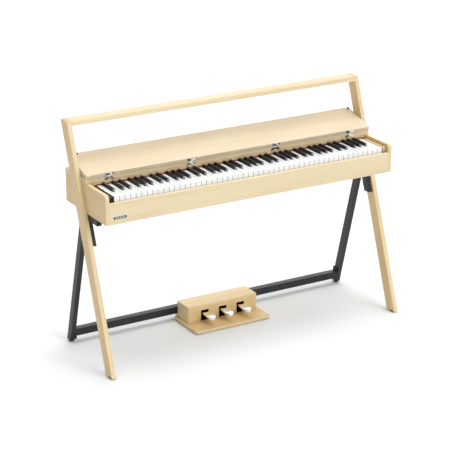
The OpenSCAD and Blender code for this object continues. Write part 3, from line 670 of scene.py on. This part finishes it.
def lid_pegs():
    """Wooden pegs with rubber caps on the lid, which rest on the end blocks when it is shut."""
    places = []
    for low, high in solids("lid_bumpers", LID_SHUT):
        at = Vector(((low.x + high.x) / 2, (low.y + high.y) / 2, low.z))
        places.append(LID_OPEN @ Matrix.Translation(at))
        tall = high.z - low.z
    cap = lathe([(0, 0), (2.2 * MM, 0.08 * MM), (3.6 * MM, 0.6 * MM), (4.3 * MM, 1.6 * MM),
                 (4.5 * MM, 2.8 * MM), (4.5 * MM, 5.2 * MM), (4.1 * MM, 6 * MM), (2.9 * MM, 6 * MM),
                 (2.9 * MM, 2.2 * MM), (0, 2.2 * MM)])
    stem = lathe([(0, 2.4 * MM), (2.8 * MM, 2.4 * MM), (2.8 * MM, tall - 1.4 * MM),
                  (3.4 * MM, tall - 0.6 * MM), (3.8 * MM, tall), (0, tall)])
    piece("lid_peg_caps", copies(cap, places), "lid", RUBBER, ["lid_bumpers"])
    piece("lid_peg_stems", copies(stem, places), "lid", PEG_WOOD)


def rounded_outline(width, height, radius, steps=6):
    points = []
    for corner, (sx, sy) in enumerate(((1, 1), (-1, 1), (-1, -1), (1, -1))):
        for i in range(steps + 1):
            turn = math.pi / 2 * (corner + i / steps)
            points.append((sx * (width / 2 - radius) + radius * math.cos(turn),
                           sy * (height / 2 - radius) + radius * math.sin(turn)))
    return points


def badge():
    """Blank dark plate in a bright rim, with a plain row of raised bars."""
    rim_width, bar_pitch, side_bars = 1.2 * MM, 6.4 * MM, 3
    low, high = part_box("badge")
    centre = (low + high) / 2
    wide, tall, deep = high.x - low.x, high.z - low.z, high.y - low.y
    face = Matrix.Translation((centre.x, high.y, centre.z)) @ Matrix.Rotation(math.pi / 2, 4, "X")
    rim = prism(rounded_outline(wide, tall, 2 * MM), 0, deep, 0.985)
    inside = rounded_outline(wide - 2 * rim_width, tall - 2 * rim_width, 1.2 * MM)
    rim = cut(rim, prism(inside, 0.45 * deep, 2 * deep))
    piece("badge_rim", copies(rim, [face]), "piano", CHROME, ["badge"], 20)
    inlay = prism(inside, 0.40 * deep, 0.62 * deep)
    piece("badge_inlay", copies(inlay, [face]), "piano", PLASTIC, (), 20)
    bar = prism(rounded_outline(3.6 * MM, 5.4 * MM, 1.0 * MM), 0.5 * deep, 0.9 * deep, 0.94)
    steps = range(-side_bars, side_bars + 1)
    bars = [face @ Matrix.Translation((step * bar_pitch, 0, 0)) for step in steps]
    piece("badge_bars", copies(bar, bars), "piano", CHROME, (), 20)


def felt_strip():
    """Matted felt strip along the back of the keys, with a soft uneven surface."""
    low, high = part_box("key_felt")
    middle, half = (low + high) / 2, (high - low) / 2
    bm = bmesh.new()
    around, count = 14, 620
    rings = []
    for i in range(count + 1):
        x = low.x + (high.x - low.x) * i / count
        end = min(1.0, 0.55 + 0.45 * min(i, count - i) / 2)
        ring = []
        for j in range(around):
            turn = 2 * math.pi * j / around
            c, n = math.cos(turn), math.sin(turn)
            y = math.copysign(abs(c) ** 0.55, c) * end
            z = math.copysign(abs(n) ** 0.55, n) * end
            fuzz = 1 - 0.07 * (0.5 + 0.5 * noise.noise(Vector((x * 420, y * 2, z * 2))))
            ring.append(bm.verts.new((x, middle.y + half.y * y * fuzz, middle.z + half.z * z * fuzz)))
        rings.append(ring)
    for a, b in zip(rings, rings[1:]):
        for j in range(around):
            k = (j + 1) % around
            bm.faces.new((a[j], a[k], b[k], b[j]))
    bm.faces.new(rings[0])
    bm.faces.new(reversed(rings[-1]))
    bmesh.ops.recalc_face_normals(bm, faces=bm.faces)
    strip = piece("felt_strip", bm, "piano", FELT, ["key_felt"], 70)


def knob():
    """Fluted volume knob with a raised pointer line."""
    low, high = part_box("volume_knob")
    centre = (low + high) / 2
    grip_r = (high.x - low.x) / 2
    stem_end, front = low.y, high.y
    grip = front - 11 * MM
    depth = front - stem_end
    body = lathe([(0, 0), (grip_r - 1.2 * MM, 0), (grip_r - 0.3 * MM, 0.4 * MM), (grip_r, 1.3 * MM),
                  (grip_r, 10.2 * MM), (grip_r - 0.6 * MM, 11 * MM), (3 * MM, 11 * MM),
                  (3 * MM, depth), (0, depth)], 144, 24, 0.45 * MM)
    place = towards((centre.x, front, centre.z), (0, -1, 0))
    piece("fluted_knob", copies(body, [place]), "volume_knob", PLASTIC, ["volume_knob"])
    mark = prism(rounded_outline(1.1 * MM, 4.6 * MM, 0.5 * MM), 0, 0.35 * MM)
    spot = Matrix.Translation((centre.x, front - 0.2 * MM, centre.z + 3.6 * MM))
    piece("knob_pointer", copies(mark, [spot @ Matrix.Rotation(-math.pi / 2, 4, "X")]), "volume_knob",
          POINTER)


def push_button():
    """Power button with a dished face and a fine ring groove."""
    low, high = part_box("power_button")
    centre, r, depth = (low + high) / 2, (high.x - low.x) / 2, high.y - low.y
    body = lathe([(0, 0.55 * MM), (2.0 * MM, 0.45 * MM), (3.6 * MM, 0.12 * MM), (3.9 * MM, 0.35 * MM),
                  (4.15 * MM, 0.35 * MM), (4.4 * MM, 0.02 * MM), (r - 0.35 * MM, 0), (r, 0.4 * MM),
                  (r, depth - 0.3 * MM), (r - 0.3 * MM, depth), (0, depth)], 56)
    place = towards((centre.x, high.y, centre.z), (0, -1, 0))
    piece("dished_button", copies(body, [place]), "power_button", PLASTIC,
          ["power_button"])


def jack_nuts():
    """Bright hexagon nuts and washers round the two phone sockets."""
    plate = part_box("jack_panel")[1].y
    hole, washer_t = polygon(32, 5.2 * MM), 0.4 * MM
    nut = cut(prism(polygon(6, 7.6 * MM, 0.3), 0, 1.7 * MM, 0.97), prism(hole, -1 * MM, 3 * MM))
    washer = lathe([(0, 0), (8.6 * MM, 0), (8.8 * MM, washer_t / 2), (8.6 * MM, washer_t), (0, washer_t)])
    washer = cut(washer, prism(hole, -1 * MM, 3 * MM))
    spots = [m["pos_m"] for m in frame["record"]["mounts"] if m["name"].startswith("phone_jack")]
    seats = [towards((spot[0], plate, spot[2]), (0, 1, 0)) for spot in spots]
    lift = Matrix.Translation((0, 0, washer_t))
    piece("jack_washers", copies(washer, seats), "piano", NICKEL)
    piece("jack_nuts", copies(nut, [seat @ lift for seat in seats]), "piano", NICKEL)


# ---------- softened edges ----------

# Width of the rounded edges in millimetres. It stays under half of the thinnest wall or step
# of a node: 1.5 mm tube walls on the steel frame, and 0.5 mm under the slots of the pedal box.
EDGE_WIDTHS = {
    1.2: "side_panel_left side_panel_right top_bar front_leg_left front_leg_right pedal_base",
    0.6: "top_board lid_board",
    0.8: "back_panel bottom_board fallboard end_block_right front_rail",
    0.7: "side_frame_left side_frame_right crossbar",
    0.5: "crossbar_plates end_block_left tube_caps jack_panel pedal_guides",
    0.9: "foot_glides",
    2.4: "pedal_left pedal_middle pedal_right",
    0.2: "pedal_box",
    0.3: "lid_hinge_leaves board_hinge_leaves",
}
for width, names in EDGE_WIDTHS.items():
    for name in names.split():
        soften(name, width * MM, 3 if width > 1 else 2)
for name in NODES:
    if NODES[name].data.materials[0] == WHITE_KEY:
        soften(name, 0.45 * MM)
    elif NODES[name].data.materials[0] == BLACK_KEY:
        soften(name, 0.9 * MM, 3, 20)

for build in (hinge_screws, frame_bolts, lid_pegs, badge, felt_strip, knob, push_button, jack_nuts):
    build()

# ---------- floor ----------


def make_floor():
    mesh = bpy.data.meshes.new("floor")
    side = 20
    mesh.from_pydata([(-side, -side, 0), (side, -side, 0), (side, side, 0), (-side, side, 0)], [],
                     [(0, 1, 2, 3)])
    floor = bpy.data.objects.new("floor", mesh)
    bpy.context.scene.collection.objects.link(floor)
    g = Graph("floor_paper")
    soft = g.noise(g.coords.outputs["Object"], 1.2, 2)
    paint(floor, g.finish(base_color=g.mix(soft, (0.812, 0.838, 0.872), (0.817, 0.843, 0.877)),
                          roughness=0.9, specular_ior_level=0.1))


make_floor()
